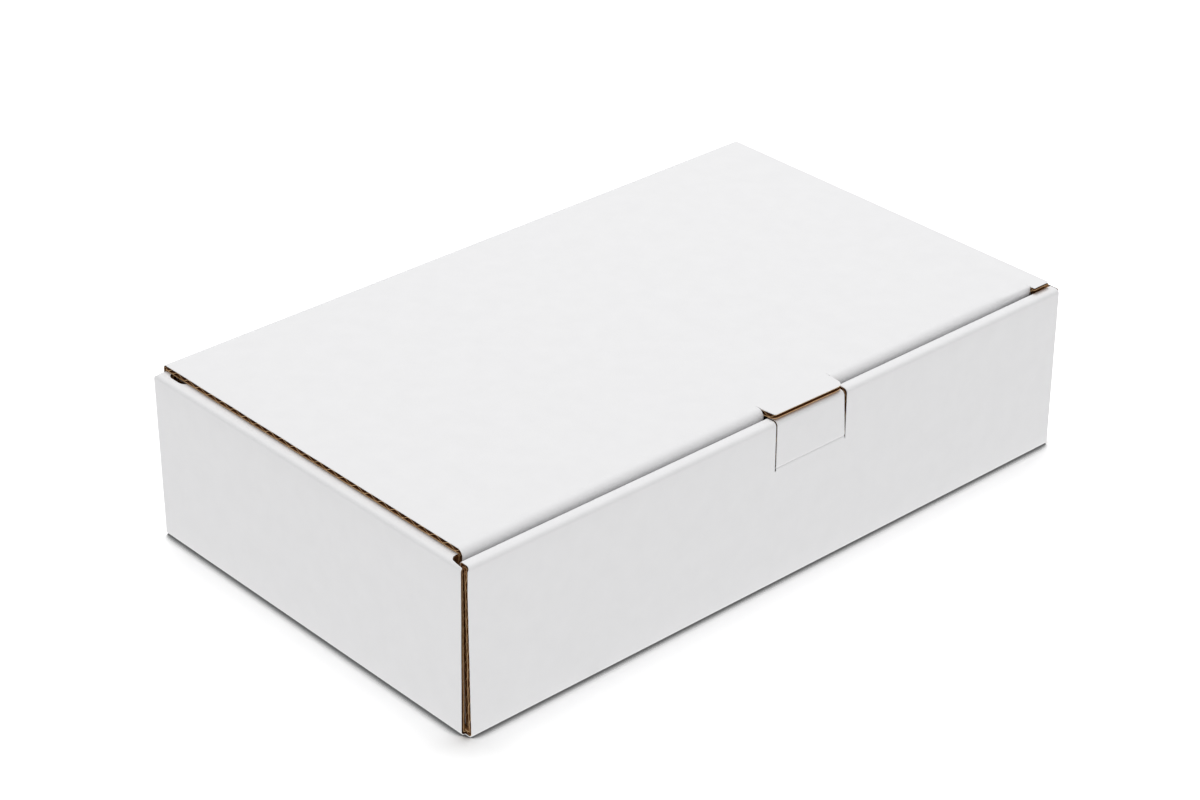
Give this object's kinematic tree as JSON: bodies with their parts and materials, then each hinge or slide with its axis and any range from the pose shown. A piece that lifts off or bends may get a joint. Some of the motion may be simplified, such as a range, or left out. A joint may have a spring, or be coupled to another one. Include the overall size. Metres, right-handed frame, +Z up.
{
  "type": "corrugated mailer box",
  "caption": "White folded corrugated mailer box with roll-over walls, a hinged lid tucked behind the front wall, and a press-in lock tab.",
  "frame": {"origin": "on the floor under the middle of the base", "axes": "+X along the long side to the right as seen from the front, +Y from the front with the lock to the hinge side, +Z up"},
  "size_m": [0.36, 0.214, 0.0858],
  "materials": {
    "white_board_tray": "matt white-lined corrugated board",
    "white_board_lid": "matt white-lined corrugated board",
    "white_board_tab": "matt white-lined corrugated board"
  },
  "bodies": {
    "tray": {"tray": "white_board_tray"},
    "lid": {"lid": "white_board_lid"},
    "front_tab": {"front_tab": "white_board_tab"}
  },
  "joints": [
    {"name": "lid_hinge", "type": "hinge", "parent": "tray", "child": "lid", "pos_m": [0.0008, 0.1056, 0.0844], "axis": [-1, 0, 0], "range_deg": [0, 180]},
    {"name": "tab_score", "type": "hinge", "parent": "tray", "child": "front_tab", "pos_m": [0.0159, -0.1056, 0.05965], "axis": [-1, 0, 0], "range_deg": [0, 8]}
  ]
}
